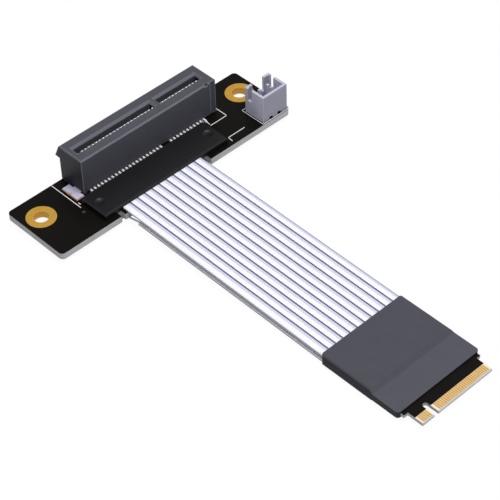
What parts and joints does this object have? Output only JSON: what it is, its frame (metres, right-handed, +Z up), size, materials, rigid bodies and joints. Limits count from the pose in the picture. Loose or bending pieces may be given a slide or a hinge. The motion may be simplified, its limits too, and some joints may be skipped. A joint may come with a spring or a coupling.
{
  "type": "expansion slot extension cable",
  "caption": "Flat ribbon extension cable from a small keyed edge plug in a sleeve to a board with an expansion card slot, shrouded power header and mounting holes.",
  "frame": {"origin": "middle of the part's outline at the level of its underside", "axes": "+X along the card slot, +Y from the plug towards the slot, +Z up out of the slot"},
  "size_m": [0.0668, 0.1034, 0.012],
  "materials": {
    "board_mask": "satin black solder mask over glass-epoxy board, pale cut edge",
    "gold_plate": "gold plated copper",
    "slot_plastic": "moulded charcoal plastic",
    "contact_metal": "sprung contact metal, tinned tails",
    "tinned_steel": "tinned sheet steel",
    "cover_plastic": "black moulding",
    "ribbon_jacket": "pale grey-white cable jacket",
    "bare_wire": "tinned wire",
    "sleeve_plastic": "dark grey moulded sleeve",
    "header_plastic": "pale grey moulded header",
    "pin_metal": "tinned pin"
  },
  "bodies": {
    "root": {"slot_board": "board_mask", "mounting_ring_left": "gold_plate", "mounting_ring_right": "gold_plate", "board_via": "board_mask", "slot_housing": "slot_plastic", "slot_contacts_front": "contact_metal", "slot_contacts_rear": "contact_metal", "slot_solder_pads_front": "bare_wire", "slot_solder_pads_rear": "bare_wire", "slot_holddown_left": "tinned_steel", "holddown_pad_left": "gold_plate", "cable_cover_top": "cover_plastic", "cable_cover_bottom": "cover_plastic", "ribbon_upper": "ribbon_jacket", "ribbon_lower": "ribbon_jacket", "upper_wire_ends": "bare_wire", "lower_wire_ends": "bare_wire", "wire_pads_slot_board": "gold_plate", "wire_pads_plug_board": "gold_plate", "plug_sleeve": "sleeve_plastic", "plug_board": "board_mask", "finger_pads_top_wide": "gold_plate", "finger_pads_top_narrow": "gold_plate", "finger_pads_bottom_wide": "gold_plate", "finger_pads_bottom_narrow": "gold_plate", "header_housing": "header_plastic", "header_pin_left": "pin_metal", "header_pin_right": "pin_metal", "header_solder_joints": "bare_wire"}
  },
  "joints": []
}
